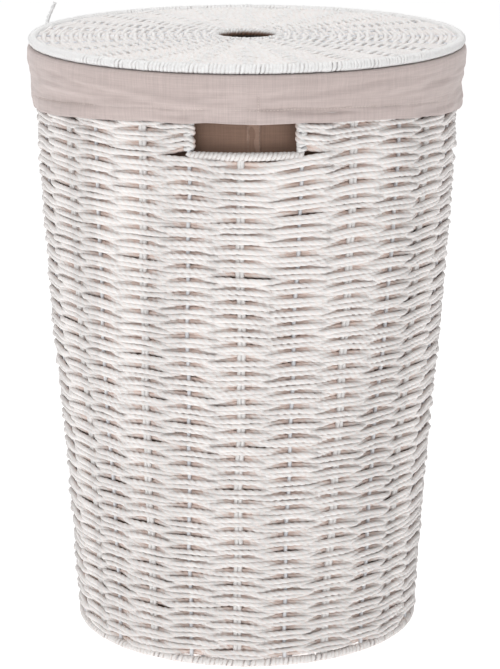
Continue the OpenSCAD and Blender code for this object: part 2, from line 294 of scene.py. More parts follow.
def make_piece(name, parts, material, body, nodes=()):
    """One object from (points, quads, uv, shade) parts, riding on a body."""
    starts = np.cumsum([0] + [len(p[0]) for p in parts])
    points = np.concatenate([p[0] for p in parts]) * MM
    quads = np.concatenate([p[1] + s for p, s in zip(parts, starts)])
    uv = np.concatenate([p[2] for p in parts])
    shade = np.concatenate([p[3] for p in parts])
    mesh = bpy.data.meshes.new(name)
    mesh.vertices.add(len(points))
    mesh.vertices.foreach_set("co", points.astype(np.float32).ravel())
    mesh.loops.add(quads.size)
    mesh.loops.foreach_set("vertex_index", quads.astype(np.int32).ravel())
    mesh.polygons.add(len(quads))
    mesh.polygons.foreach_set("loop_start", np.arange(0, quads.size, 4, dtype=np.int32))
    mesh.polygons.foreach_set("use_smooth", np.ones(len(quads), bool))
    layer = mesh.uv_layers.new(name="along")
    layer.data.foreach_set("uv", uv.astype(np.float32).ravel())
    mesh.attributes.new("shade", "FLOAT", "POINT")
    mesh.attributes["shade"].data.foreach_set("value", shade.astype(np.float32))
    mesh.update(calc_edges=True)
    mesh.materials.append(material)
    made = bpy.data.objects.new(name, mesh)
    bpy.context.scene.collection.objects.link(made)
    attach(made, body)
    if nodes:
        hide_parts(*nodes)
    return made


def unit(v):
    return v / np.linalg.norm(v, axis=-1, keepdims=True)


def random_waves(rng, place, count, low, high):
    """Sum of waves over place, in radians; each has a whole number of turns below high."""
    total = np.zeros(len(place))
    for _ in range(count):
        k = rng.integers(low, high)
        total += np.sin(k * place + rng.uniform(0, TURN))
    return total


def steps_along(points, closed):
    """The step at each station of paths (paths, stations, 3) and the gap to the next."""
    if closed:
        step = np.roll(points, -1, 1) - np.roll(points, 1, 1)
        gaps = np.linalg.norm(np.roll(points, -1, 1) - points, axis=-1)
        return step, gaps
    step = np.gradient(points, axis=1)
    gaps = np.linalg.norm(np.diff(points, axis=1), axis=-1)
    return step, np.concatenate([gaps, gaps[:, -1:]], 1)


def end_faces(paths, stations, sides):
    """Quads that close both ends of each tube."""
    ends = []
    for station, turn in ((0, -1), (stations - 1, 1)):
        first = (np.arange(paths) * stations + station) * sides
        for j in range(1, sides - 2, 2):
            corner = np.array([0, j, j + 1, j + 2])[::turn]
            ends.append(first[:, None] + corner)
    return np.concatenate(ends)


def tube_faces(length, gaps, offset, sides, closed):
    """Quads of tubes and their uv: centimetres along the cord, and turns round it."""
    paths, stations = length.shape
    rows = stations if closed else stations - 1
    p, i, k = np.meshgrid(np.arange(paths), np.arange(rows), np.arange(sides), indexing="ij")
    here = (p * stations + i) * sides
    following = (p * stations + (i + 1) % stations) * sides
    k2 = (k + 1) % sides
    quads = np.stack([here + k, here + k2, following + k2, following + k], -1).reshape(-1, 4)
    u0 = (length / 10 + offset)[p, i]
    u1 = ((length + gaps) / 10 + offset)[p, i]
    v0 = k / sides + offset[p, 0]
    v1 = (k + 1) / sides + offset[p, 0]
    uv = np.stack([u0, v0, u0, v1, u1, v1, u1, v0], -1).reshape(-1, 2)
    if not closed:
        ends = end_faces(paths, stations, sides)
        quads = np.concatenate([quads, ends])
        uv = np.concatenate([uv, np.zeros((len(ends) * 4, 2))])
    return quads, uv


# Painted shade: how much of the bare tone a cord takes per unit of dip in the valleys between
# its strands
VALLEY_SHADE = 2.6


def sweep(
    points, ref, radius, seed, closed=False, lay=13.5, sides=8, dip=0.2, flat=(1, 1),
    swell=0.04, shade=None, edge_shade=0.0
):
    """Twisted two-strand cords along paths (paths, stations, 3). ref points out of the surface
    they lie in; flat squeezes them that way and across it. lay is the length of one twist, dip
    the valley between strands and swell the change of thickness. shade gives from a place how
    much painted shade, in the bare tone, falls there, and the strand valleys add more; without
    it, edge_shade is the painted shade on the cord's two sides, where neighbouring turns meet."""
    rng = np.random.default_rng(seed)
    paths, stations = points.shape[:2]
    step, gaps = steps_along(points, closed)
    along = unit(step)
    side = unit(np.cross(along, np.broadcast_to(ref, points.shape)))
    out = np.cross(side, along)
    length = np.cumsum(gaps, 1) - gaps
    twist = TURN * length / lay
    if closed:
        total = TURN * np.sum(gaps, 1, keepdims=True) / lay
        twist = twist * (TURN * np.round(total / TURN)) / total
    twist = twist + rng.uniform(0, TURN, (paths, 1))
    bulge = np.zeros((paths, stations))
    place = np.linspace(0, TURN, stations, endpoint=not closed)
    for wave in rng.integers(3, max(5, stations // 12), 4):
        bulge += np.sin(wave * place + rng.uniform(0, TURN, (paths, 1))) / 2
    around = TURN * np.arange(sides) / sides
    groove = (0.5 - 0.5 * np.cos(2 * around)) ** 2
    angle = around + twist[..., None]
    reach = (radius * (1 + swell * bulge))[..., None] * (1 - dip * groove)
    x = (flat[0] * reach * np.cos(angle))[..., None]
    y = (flat[1] * reach * np.sin(angle))[..., None]
    skin = points[:, :, None] + x * out[:, :, None] + y * side[:, :, None]
    quads, uv = tube_faces(length, gaps, rng.uniform(0, 50, (paths, 1)), sides, closed)
    # tone carries the painted shade to the shade attribute
    if shade is None:
        tone = edge_shade * np.sin(angle) ** 4
    else:
        tone = np.clip(shade(skin) + VALLEY_SHADE * dip * groove, 0, 1)
    return skin.reshape(-1, 3), quads, uv, tone.reshape(-1)


def even_angles(count):
    return np.arange(count) * 360 / count


def ease(t):
    """From 0 to 1, slow at both ends."""
    return 0.5 - 0.5 * np.cos(math.pi * t)


def polar(angle, height, radius):
    """Points from an angle in degrees, a height and a radius."""
    a = np.radians(angle)
    angle, height, radius = np.broadcast_arrays(a, height, radius)
    return np.stack([radius * np.sin(angle), -radius * np.cos(angle), height], -1)


def outward(points):
    """Level unit vectors away from the basket's axis."""
    return unit(points * (1 - UP))


def over_under(x, lift):
    """A wave, -1 behind an upright and 1 before it, that lift keeps outside in between; x
    counts uprights."""
    c = np.cos(math.pi * x)
    return c + lift * (1 - c * c)


# --- Wall ---

# How far the wall lies outside a straight cone, at some heights
BULGE_Z = [0, 30, 160, 200, 230, 260, 300, 400, 440, SHOULDER_Z]
BULGE = [0, -1.6, -1.6, -1.1, -0.3, 0.6, 1.2, 1.1, 0.7, 0]


def cone_r(z):
    """Radius of the CAD wall's outer face."""
    rim_r = RIM_R + WALL_T / 2
    return np.interp(z, [0, SHOULDER_Z, RIM_Z], [CONE_FOOT_R, SHOULDER_R, rim_r])


def stake_r(z):
    """Radius of the uprights, in the middle of the wall, with its waist and bulge."""
    return cone_r(z) + np.interp(z, BULGE_Z, BULGE) - WALL_T / 2


# A row is a pair of cords side by side. The room that a row takes, at some heights
PITCH_Z = [20, 95, 145, 195, 245, 295, 345, 395, 560]
PITCH = [6.28, 6.55, 6.62, 6.78, 6.8, 6.55, 6.3, 6.34, 6.36]


def row_heights(low, high):
    """Heights of the rows from low up to high."""
    heights = []
    z = low
    while z <= high:
        heights.append(z)
        z = z + np.interp(z, PITCH_Z, PITCH)
    return np.array(heights)


# The weave has twisted the basket a little: how far each upright is off its even place, in
# degrees, at the foot, halfway up and at the shoulder, counted from the front handle
LEAN_Z = [40, 240, 455]
LEAN = np.tile([-2.9, -1.8, -0.4], (STAKES, 1))
# The uprights that the photo shows, from the front handle on: 0 to 4, then 20 to 23
LEAN[:3] = [-3.4, -1.7, -1.5], [-2.5, -2.0, -0.4], [-3.1, -1.2, -0.5]
LEAN[3:5] = [-2.8, -2.4, 0.2], [-4.8, -4.2, -2.0]
LEAN[-4:] = [1.6, 2.4, 3.4], [-2.8, -2.0, 0.5], [-2.6, -1.4, 1.5], [-3.8, -2.5, -0.3]


def stake_angle(stake, z):
    """Angle of an upright at a height; stake may be an array of whole numbers."""
    m = np.mod(stake, STAKES)
    foot, middle, top = LEAN[m, 0], LEAN[m, 1], LEAN[m, 2]
    low = np.clip((z - LEAN_Z[0]) / (LEAN_Z[1] - LEAN_Z[0]), 0, 1)
    high = np.clip((z - LEAN_Z[1]) / (LEAN_Z[2] - LEAN_Z[1]), 0, 1)
    lean = foot + (middle - foot) * low + (top - middle) * high
    sway = 0.22 * np.sin(z / 37 + 1.7 * m) + 0.16 * np.sin(z / 16 + 2.9 * m)
    fade = np.clip((SHOULDER_Z - z) / 30, 0, 1)
    return np.asarray(stake) * 360 / STAKES + lean + sway * fade


def wall_angle(u, z):
    """Angle of a place u between the uprights, counted in uprights, at a height."""
    m = np.floor(u).astype(int)
    t = u - m
    return stake_angle(m, z) * (1 - t) + stake_angle(m + 1, z) * t


def from_handle(angle):
    """Signed angle from the nearer handle."""
    return np.mod(angle + 90, 180) - 90


BAR_ROW_Z = 477.0


def row_shift(angle, z):
    """How far the weave is pushed down under a handle's bar, and up beside it."""
    a = from_handle(angle)

    def swerve(shift, off, width, height, fade):
        return shift * np.exp(-(off / width) ** 2) * np.exp(-np.abs(z - height) / fade)

    under = swerve(-6.0, a, 15, np.maximum(z, 474), 48)
    above = swerve(4.4, np.abs(a) - 14, 5, 480, 25)
    right = swerve(4.5, a - 33, 13, 478, 45)
    left = swerve(-2.2, a + 33, 13, 478, 45)
    return np.where(z < BAR_ROW_Z, under, above) + right + left


def wander(angle, z):
    """Slow waves that neighbouring rows share."""
    rng = np.random.default_rng(3)
    total = 0
    for _ in range(14):
        turns = rng.integers(2, 12)
        rise = rng.uniform(-1, 1) / 22
        phase = rng.uniform(0, TURN)
        total = total + 0.22 * np.sin(turns * np.radians(angle) + rise * z + phase)
    return total


def between(values, u):
    """Values at the uprights, joined smoothly; values is (rows, uprights)."""
    m = np.floor(u).astype(int)
    t = ease(u - m)
    low = np.mod(m, STAKES)
    high = np.mod(m + 1, STAKES)
    return values[:, low] * (1 - t) + values[:, high] * t


def wall_shade(skin):
    """Painted shade and bare paper: the bare tone from the middle of the wall's thickness
    inwards, as shade in the weave's recesses and as bare paper on its inner face.
    """
    depth = np.hypot(skin[..., 0], skin[..., 1]) - stake_r(skin[..., 2])
    return np.exp(-(np.clip(depth + 1.4, 0, 9) / 2.7) ** 2)


# How the pairs run. OUT is how far they stand off the uprights' middle and LIFT how long
# they keep outside. SPREAD parts the two cords and WIDEN adds to it at an upright. TUCK
# takes one cord behind the other between uprights. HOOP_GAP clears the middle hoop.
OUT = 2.95
LIFT = 0.9
SPREAD = 3.4
WIDEN = 0.95
TUCK = 1.3
HOOP_GAP = 1.6

# The cords of the wall: stations from one upright to the next, radius (smaller where they
# turn back at the side wires), lay and valley
STEPS = 26
WEAVER_R = 2.56
SIDE_WEAVER_R = 2.45
WEAVER_LAY = 13
WEAVER_DIP = 0.15
ROWS_PER_PIECE = 9


def pair_paths(heights, u, first_row, seed):
    """Paths (rows, 2, stations, 3) of pairs of cords woven in and out of the uprights."""
    rng = np.random.default_rng(seed)
    rows = len(heights)
    base = heights[:, None] + np.zeros(len(u))
    angle = wall_angle(u[None], base)
    jitter = between(rng.normal(0, 0.45, (rows, STAKES)), u)
    mid = base + row_shift(angle, base) + wander(angle, base) + np.clip(jitter, -0.9, 0.9)
    parity = np.arange(first_row, first_row + rows)[:, None]
    weave = over_under(u[None] + parity, LIFT)
    closeness = np.abs(np.cos(math.pi * u))[None]
    near_hoop = np.exp(-((base - MID_Z) / 5) ** 2) * np.sign(base - MID_Z)
    mid = mid + HOOP_GAP * near_hoop * (weave < 0) * -weave
    spread = SPREAD + WIDEN * closeness ** 0.8
    spread = spread + np.clip(between(rng.normal(0, 0.42, (rows, STAKES)), u), -0.6, 0.8)
    tuck = np.clip(rng.normal(0.8, 0.9, (rows, STAKES)), -0.6, 1.7)
    lean = TUCK * (1 - closeness) * between(tuck, u + 0.5)
    cords = []
    for c in (-0.5, 0.5):
        z = mid + c * spread
        r = stake_r(z) + OUT * weave + 2 * c * lean
        r = r + between(rng.normal(0, 0.25, (rows, STAKES)), u + 0.5)
        z = z + between(rng.normal(0, 0.3, (rows, STAKES)), u + 0.5)
        cords.append(polar(angle, z, r))
    return np.stack(cords, 1)


def full_rows(name, heights, first_row, node, seed):
    """Rows all round the wall, in several pieces so that none gets too heavy."""
    stations = STAKES * STEPS
    u = np.arange(stations) / STEPS
    paths = pair_paths(heights, u, first_row, seed)
    for i in range(0, len(heights), ROWS_PER_PIECE):
        some = paths[i:i + ROWS_PER_PIECE].reshape(-1, stations, 3)
        part = sweep(
            some, outward(some), WEAVER_R, seed + i, True, lay=WEAVER_LAY, dip=WEAVER_DIP,
            shade=wall_shade
        )
        label = f"{name}_{i // ROWS_PER_PIECE + 1}"
        make_piece(label, [part], CORD, "basket", [node])


def side_rows(name, heights, first_row, start, node, seed):
    """The rows between the handles: one pair of cords that turns back at each side wire."""
    spans = STAKES // 2 - 2
    turn_steps = 8
    u = np.linspace(0, spans, spans * STEPS + 1) + start
    paths = pair_paths(heights, u, first_row, seed)
    reach = WIRE_D / 2 + CORD_D / 2 - 0.1
    whole = []
    for i in range(len(heights)):
        row = paths[i] if i % 2 == 0 else paths[i][:, ::-1]
        whole.append(row)
        if i + 1 == len(heights):
            break
        following = paths[i + 1] if i % 2 == 1 else paths[i + 1][:, ::-1]
        a, b = row[:, -1], following[:, 0]
        travel = unit(row[:, -1] - row[:, -2])
        t = (np.arange(1, turn_steps) / turn_steps)[None, :, None]
        straight = a[:, None] * (1 - ease(t)) + b[:, None] * ease(t)
        rise = a[:, None, 2:] * (1 - t) + b[:, None, 2:] * t
        turn = straight + reach * np.sin(math.pi * t) * travel[:, None]
        turn[..., 2:] = rise
        whole.append(turn)
    path = np.concatenate(whole, 1)
    part = sweep(
        path, UP, SIDE_WEAVER_R, seed, lay=WEAVER_LAY, dip=WEAVER_DIP, shade=wall_shade
    )
    make_piece(name, [part], CORD, "basket", [node])


# The rows that go all the way round end just under the bars of the handles
BARS_FOOT = 475.0
ROWS = row_heights(WALL_BOTTOM + 3.5, BARS_FOOT)
LOWER = ROWS[ROWS < MID_Z]
UPPER = ROWS[ROWS >= MID_Z]
full_rows("weave_lower", LOWER, 0, "weave_lower", 100)
full_rows("weave_upper", UPPER, len(LOWER), "weave_upper", 200)
SIDE = row_heights(ROWS[-1] + 6.4, HANDLE_TOP - 3)
side_rows("weave_right_rows", SIDE, len(ROWS), 1, "weave_right", 300)
side_rows("weave_left_rows", SIDE, len(ROWS), 1 + STAKES // 2, "weave_left", 310)
TOP = np.array([HANDLE_TOP + 4.3, BAND_TOP - 4.2])
full_rows("weave_top", TOP, len(ROWS) + len(SIDE), "weave_top", 320)


# --- Uprights ---

# The uprights under and over the two handles
HANDLE_STAKES = (0, STAKES // 2)


def upright_path(stake, low, high, sideways=0.0):
    """Path up one upright, or up one of a pair of cords that lies sideways of its middle."""
    count = max(4, int((high - low) / 2.4))
    z = np.linspace(low, high, count)
    r = stake_r(z)
    if stake in HANDLE_STAKES:
        sideways = sideways * np.interp(z, [BAR_Z - 26, BAR_Z - 10], [1, 0.6])
    angle = stake_angle(stake, z) + np.degrees(sideways / r)
    return polar(angle, z, r)[None]


# A pair of upright cords: half the distance between the two, and their radius
CORD_OFF = 1.85
CORD_UPRIGHT_R = 2.2


def build_uprights():
    wires, cords = [], []
    for stake in range(STAKES):
        if stake % 2:
            path = upright_path(stake, FOOT_Z + 2, RIM_Z - 2.2)
            wires.append(sweep(path, outward(path), WIRE_D / 2 + 0.15, stake, dip=0, swell=0.03))
            continue
        spans = [(WALL_BOTTOM - 3, RIM_Z - 4)]
        if stake in HANDLE_STAKES:
            spans = [(WALL_BOTTOM - 3, BAR_Z - 2), (HANDLE_TOP, RIM_Z - 4)]
        for low, high in spans:
            for side in (-1, 1):
                path = upright_path(stake, low, high, side * CORD_OFF)
                cords.append(sweep(
                    path, outward(path), CORD_UPRIGHT_R, 40 + stake + side, lay=12, dip=0.1
                ))
    make_piece("wire_stakes_bent", wires, WIRE, "basket", ["wire_stakes"])
    make_piece("cord_stakes_twisted", cords, CORD, "basket", ["cord_stakes"])


def hoop_path(radius, z, count):
    angle = even_angles(count)
    return polar(angle, z, radius)[None]


build_uprights()
MID_PATH = hoop_path(stake_r(MID_Z) - CORD_D / 2 - MID_HOOP_D / 2 - 0.1, MID_Z, 360)
make_piece(
    "mid_hoop_wire", [sweep(MID_PATH, outward(MID_PATH), MID_HOOP_D / 2, 5, True, dip=0)],
    WIRE, "basket", ["mid_hoop"]
)


# --- Cord wound round a hoop or a bar ---

def winding(
    radius, z, thick, pitch, seed, arc=None, cord_t=2.2, messy=1.0, tilt=0.0, width=0.7,
    shade=None
):
    """A helix of cord round a level hoop, all round it or along an arc in degrees. thick is
    the wound hoop's, cord_t the pressed cord's and width its half width in pitches."""
    rng = np.random.default_rng(seed)
    low, high = arc or (0, 360)
    length = math.radians(high - low) * radius
    turns = int(round(length / pitch))
    t = np.linspace(0, 1, turns * 14, endpoint=arc is not None)
    around = TURN * turns * t
    drift = random_waves(rng, TURN * t, 9, max(3, turns // 12), max(5, turns // 4))
    slip = pitch * messy * 0.07 * drift
    lean = tilt * np.sin(around)
    angle = low + (high - low) * t + np.degrees((slip + lean) / radius)
    climb = random_waves(rng, TURN * t, 5, turns // 3, turns) / 3
    reach = thick / 2 - cord_t / 2 + 0.16 * messy * climb
    path = polar(angle, z + reach * np.sin(around), radius + reach * np.cos(around))[None]
    centre = polar(angle, z, radius)[None]
    # edge_shade paints shade, in the bare tone, on the cord's sides where neighbouring turns
    # meet
    return sweep(
        path, unit(path - centre), pitch * width, seed, closed=arc is None, lay=11,
        flat=(cord_t / pitch / width / 1.9, 1.0), dip=0.14, shade=shade, edge_shade=0.5
    )


def finger_hole_shade(skin):
    """Painted shade: how much of the dark brown the finger ring's cord takes, fully low on the
    side that faces the hole, as the shade down in the finger hole.
    """
    inner = np.clip((FINGER_R - 1 - np.hypot(skin[..., 0], skin[..., 1])) / 1.5, 0, 1)
    return inner * np.clip((FINGER_Z + 1.6 - skin[..., 2]) / 2.4, 0, 1)


# The room that one turn of a winding takes along its hoop or bar
LID_TURN = 3.3
RIM_TURN = 3.5
LOOSE_TURN = 3.9


def build_windings():
    make_piece(
        "lid_rim_winding", [winding(LID_R, LID_Z, LID_WRAPPED_D, LID_TURN, 11, width=0.66)],
        LID_CORD, "lid", ["lid_rim_wrap"]
    )
    make_piece(
        "finger_ring_winding",
        [winding(
            FINGER_R, FINGER_Z, FINGER_WRAPPED_D, LID_TURN, 12, cord_t=2.0, width=0.64,
            shade=finger_hole_shade
        )],
        FINGER_CORD, "lid", ["finger_ring_wrap"]
    )
    make_piece(
        "foot_ring_winding",
        [winding(FOOT_R, FOOT_Z, WRAPPED_D - 0.4, LOOSE_TURN, 13, messy=1.6, width=0.62)],
        CORD, "basket", ["base_hoop_wrap"]
    )
    make_piece(
        "rim_winding", [winding(RIM_R, RIM_Z, WRAPPED_D, RIM_TURN, 14)],
        CORD, "basket", ["rim_wrap"]
    )
    for name, middle in (("front", 0), ("back", 180)):
        arc = (middle - HALF_HANDLE - 0.4, middle + HALF_HANDLE + 0.4)
        part = winding(
            stake_r(BAR_Z), BAR_Z, BAR_WRAPPED_D, LOOSE_TURN, 15 + middle, arc, messy=0.5,
            tilt=0.7, width=0.6
        )
        make_piece(
            f"bar_winding_{name}", [part], CORD, "basket",
            [f"handle_wrap_{name}"]
        )


# The wires beside the hand holes
SIDE_STAKES = (1, STAKES // 2 - 1, STAKES // 2 + 1, STAKES - 1)


def build_side_turns():
    """Extra turns of cord round the side wires, between the rows that turn back there."""
    parts = []
    rng = np.random.default_rng(21)
    for stake in SIDE_STAKES:
        z = BAR_TOP + 2.2
        while z < HANDLE_TOP - 2:
            t = np.linspace(0, 1, 20)
            around = TURN * 1.15 * t + rng.uniform(0, TURN)
            height = z + 2.0 * (t - 0.5) + 0.5 * np.sin(around)
            reach = WIRE_D / 2 + 1.35
            r = stake_r(height) + reach * np.cos(around)
            angle = stake_angle(stake, height) + np.degrees(reach * np.sin(around) / r)
            path = polar(angle, height, r)[None]
            centre = polar(stake_angle(stake, height), height, stake_r(height))[None]
            parts.append(sweep(path, unit(path - centre), 1.95, int(z * 7) + stake, lay=11))
            z += 4.1 + rng.uniform(-0.2, 0.2)
    make_piece(
        "handle_side_turns", parts, CORD, "basket", ["handle_side_wraps"]
    )


build_windings()
build_side_turns()


# --- Base and lid ---

def disc_rows(radii, z, stakes_at, amplitude, flat, seed, radius, dip_w, shade):
    """Rings of cord woven over and under the spokes of a flat disc. They bend up and down only
    near a spoke, over a length of about dip_w."""
    parts = []
    rng = np.random.default_rng(seed)
    for i, r in enumerate(radii):
        stakes = stakes_at(r)
        per = max(8, int(TURN * r / stakes / 1.9))
        u = np.arange(stakes * per) / per
        angle = u * 360 / stakes
        wave = random_waves(rng, np.radians(angle), 7, 2, 22) / 3
        spacing = TURN * r / stakes
        width = min(0.3, dip_w / spacing)
        c = np.cos(math.pi * (u + i))
        crest = np.sign(c) * np.abs(c) ** (2 / (math.pi * width) ** 2)
        height = z + amplitude * (crest + 0.35 * (crest < 0) * crest) + 0.4 * wave
        path = polar(angle, height, r + 0.35 * np.roll(wave, 7 * per))[None]
        parts.append(sweep(
            path, UP, radius, seed + i, True, lay=12, flat=flat, dip=0.24, shade=shade
        ))
    return parts


def lid_shade(skin):
    """Painted shade: the bare tone below the lid's upper face, in the valleys between its rings.
    """
    return np.exp(-(np.clip(skin[..., 2] - LID_Z + 0.6, 0, 9) / 2.0) ** 2)


def base_shade(skin):
    """Painted shade: the bare tone in the middle of the base's thickness, between its rings and
    spokes.
    """
    depth = np.abs(skin[..., 2] - BASE_Z)
    return 0.8 * np.exp(-(depth / 2.0) ** 2)


# The lid's rings are shared out among pieces of about this many triangles
LID_TRIANGLES = 150000

# The room that one ring of the lid or the base takes along a spoke
LID_RING = 4.1
BASE_RING = 4.2


def build_discs():
    rings = int((LID_OUT_R - LID_IN_R) / LID_RING)
    radii = np.linspace(LID_IN_R + 1.9, LID_OUT_R - 1.2, rings)
    parts = disc_rows(
        radii, LID_Z, lambda r: STAKES, 1.6, (0.85, 1.0), 400, 2.45, 6.0, lid_shade
    )
    split = np.cumsum([len(p[1]) * 2 for p in parts]) // LID_TRIANGLES
    for k in sorted(set(split)):
        some = [p for p, s in zip(parts, split) if s == k]
        label = f"lid_weave_{k + 1}"
        make_piece(label, some, LID_CORD, "lid", ["lid_weave"])
    radii = np.arange(HUB_R + WIRE_D / 2 + 2.3, BASE_WEAVE_R - 1.5, BASE_RING)
    parts = disc_rows(
        radii, BASE_Z, lambda r: STAKES if r > CORD_SPOKE_R else STAKES // 2, 3.0,
        (0.9, 1.0), 500, 2.1, 8.0, base_shade
    )
    make_piece("base_rings", parts, CORD, "basket", ["base_weave"])
    spokes = []
    for stake in range(0, STAKES, 2):
        r = np.linspace(CORD_SPOKE_R, BASE_WEAVE_R, 40)
        for s in (-1.95, 1.95):
            angle = stake * 360 / STAKES + np.degrees(s / r)
            path = polar(angle, BASE_Z, r)[None]
            spokes.append(sweep(path, UP, 1.9, stake + 600))
    make_piece(
        "base_cord_spokes_twisted", spokes, CORD, "basket",
        ["base_cord_spokes"]
    )


build_discs()


# --- Cloth ---

def shell_faces(down, around, closed):
    """Quads of a sheet with a front and a back skin, joined along its edges."""
    cols = around if closed else around - 1
    i, j = np.meshgrid(np.arange(down - 1), np.arange(cols), indexing="ij")
    j2 = (j + 1) % around

    def at(skin, a, b):
        return (skin * down + a) * around + b

    front = np.stack([at(0, i, j), at(0, i, j2), at(0, i + 1, j2), at(0, i + 1, j)], -1)
    back = np.stack([at(1, i, j), at(1, i + 1, j), at(1, i + 1, j2), at(1, i, j2)], -1)
    k = np.arange(cols)
    k2 = (k + 1) % around
    first = np.stack([at(0, 0, k), at(1, 0, k), at(1, 0, k2), at(0, 0, k2)], -1)
    last = down - 1
    final = np.stack([at(0, last, k), at(0, last, k2), at(1, last, k2), at(1, last, k)], -1)
    groups = [front.reshape(-1, 4), back.reshape(-1, 4), first, final]
    if not closed:
        m = np.arange(down - 1)
        e = around - 1
        left = np.stack([at(0, m, 0), at(0, m + 1, 0), at(1, m + 1, 0), at(1, m, 0)], -1)
        right = np.stack([at(0, m, e), at(1, m, e), at(1, m + 1, e), at(0, m + 1, e)], -1)
        groups += [left, right]
    return np.concatenate(groups)


def round_uv(mid):
    """uv in metres over a closed sheet, and the length round it, where u starts again."""
    down, around = mid.shape[:2]
    lengths = np.linalg.norm(np.diff(mid, axis=0), axis=-1).mean(1)
    v = np.concatenate([[0], np.cumsum(lengths)]) * MM
    wrap = np.linalg.norm(np.diff(mid[down // 2], axis=0), axis=-1).sum() * MM
    u = np.arange(around) / around * wrap
    return np.stack(np.broadcast_arrays(u[None], v[:, None]), -1), wrap


def cloth_shell(mid, thickness, closed=True, uv=None):
    """A closed skin of cloth from its middle surface (down, around, 3)."""
    down, around = mid.shape[:2]
    d_down = np.gradient(mid, axis=0)
    if closed:
        d_around = np.roll(mid, -1, 1) - np.roll(mid, 1, 1)
    else:
        d_around = np.gradient(mid, axis=1)
    normal = unit(np.cross(d_around, d_down))
    skins = np.stack([mid + normal * thickness / 2, mid - normal * thickness / 2])
    quads = shell_faces(down, around, closed)
    wrap = 0
    if uv is None:
        uv, wrap = round_uv(mid)
    corner = np.concatenate([uv.reshape(-1, 2), uv.reshape(-1, 2)])[quads]
    if wrap:
        jump = corner[:, :, 0].max(1) - corner[:, :, 0].min(1) > wrap / 2
        low = corner[:, :, 0] < wrap / 2
        corner[:, :, 0] += wrap * (jump[:, None] & low)
    points = skins.reshape(-1, 3)
    return points, quads, corner.reshape(-1, 2), np.zeros(len(points))


def ripples(angle, height, seed, count, amount, turns, rises):
    """Soft folds: waves round the basket whose crests rise at a slope."""
    rng = np.random.default_rng(seed)
    total = 0
    for _ in range(count):
        k = rng.integers(*turns)
        slope = rng.uniform(*rises) * rng.choice([-1, 1])
        phase = rng.uniform(0, TURN)
        wave = np.sin(k * np.radians(angle) + slope * height + phase)
        total = total + wave * rng.uniform(0.5, 1)
    return amount * total / math.sqrt(count)


def bag_r(z):
    """Radius of the bag's cloth, which hangs clear of the wall."""
    return cone_r(z) - WALL_T - LINER_GAP


# The bag turns over the rim at CREST_R from the hoop's middle, from BAG_BEND_Z up
CREST_R = CLOTH_TOP - CLOTH_T / 2 - RIM_Z
BAG_BEND_Z = 525.0


def build_bag():
    around = 300
    angle = even_angles(around)
    z = np.linspace(BAG_FLOOR + 0.7, BAG_BEND_Z, 90)
    wall = np.stack([bag_r(z), z], -1)
    a = np.radians(np.linspace(176, 92, 14))
    over = np.stack([RIM_R + CREST_R * np.cos(a), RIM_Z + CREST_R * np.sin(a)], -1)
    profile = np.concatenate([wall, over])
    height = profile[:, 1:2] + 0 * angle
    free = np.clip((BAG_BEND_Z - height) / 60, 0, 1) * np.clip((height - 12) / 30, 0.2, 1)
    folds = ripples(angle, height, 31, 14, 1.5, (3, 26), (0.002, 0.03))
    folds = folds + ripples(angle, height, 32, 12, 0.5, (8, 60), (0.02, 0.12))
    r = profile[:, :1] + free * (np.clip(folds, -4, 2.2) - 0.4)
    mid = polar(angle[None], height, r)
    # The bag's cloth is the darkened linen: painted shade
    bag = make_piece(
        "liner_bag_cloth", [cloth_shell(mid, CLOTH_T)], SHADED_BAG_LINEN, "liner",
        ["liner_bag"]
    )
    return bag


# Height of the cuff's lower edge at the handles, and how much lower it hangs at the sides
CUFF_EDGE_Z = 507.0
SIDE_DROP = 13.0


def cuff_edge(angle):
    drop = SIDE_DROP * np.abs(np.sin(np.radians(angle))) ** 3
    rough = ripples(angle, 0, 41, 6, 0.5, (5, 40), (0, 0.01))
    return CUFF_EDGE_Z - drop + rough


# The cuff's outer radius at some heights, then the depth of its hem
CUFF_PROFILE_Z = [490, 505, 515, 520, 530, 538, 545, 549]
CUFF_PROFILE_R = [196.9, 196.9, 197.1, 197.8, 199.0, 200.0, 200.6, 200.6]
HEM_H = 12.0

# Where the cuff's ends are sewn together: an angle a little right of the front handle
CUFF_SEAM = 2.6


# Where the cuff starts to bend and where it starts to hang, as shares of the way down it
BEND_FROM = 0.08
HANG_FROM = 0.18


def cuff_mid(angle, t):
    """The cuff's middle surface; t runs from 0 at the rim's crest to 1 at its lower edge."""
    edge = cuff_edge(angle)
    top = CLOTH_TOP - CLOTH_T / 2
    bend = 3.5
    out_r = CUFF_R - CLOTH_T / 2
    flat_part = np.clip(t / BEND_FROM, 0, 1)
    bend_part = np.clip((t - BEND_FROM) / (HANG_FROM - BEND_FROM), 0, 1) * math.pi / 2
    hang = np.clip((t - HANG_FROM) / (1 - HANG_FROM), 0, 1)
    start_r = RIM_R - 0.2
    corner_z = top - bend
    r = start_r + (out_r - bend - start_r) * flat_part + bend * np.sin(bend_part)
    z = top - bend * (1 - np.cos(bend_part)) - hang * (corner_z - edge)
    target = np.interp(z, CUFF_PROFILE_Z, CUFF_PROFILE_R) - out_r
    return r + target * np.clip(hang * 6, 0, 1), z, hang, edge


# Creases pressed into the cuff: angle, height, half length, fall to the right and depth
PLACED_CREASES = [
    (-36, 533, 26, -0.40, 1.3), (-62, 538, 18, -0.30, -1.2), (-48, 523, 20, -0.10, 0.9),
    (-12, 522, 16, -0.25, 0.7), (24, 530, 20, 0.22, 0.9), (50, 537, 18, 0.30, -1.0),
    (56, 524, 16, 0.12, 0.9), (74, 531, 10, 0.30, 1.1), (-78, 528, 9, 0.20, 1.1)
]


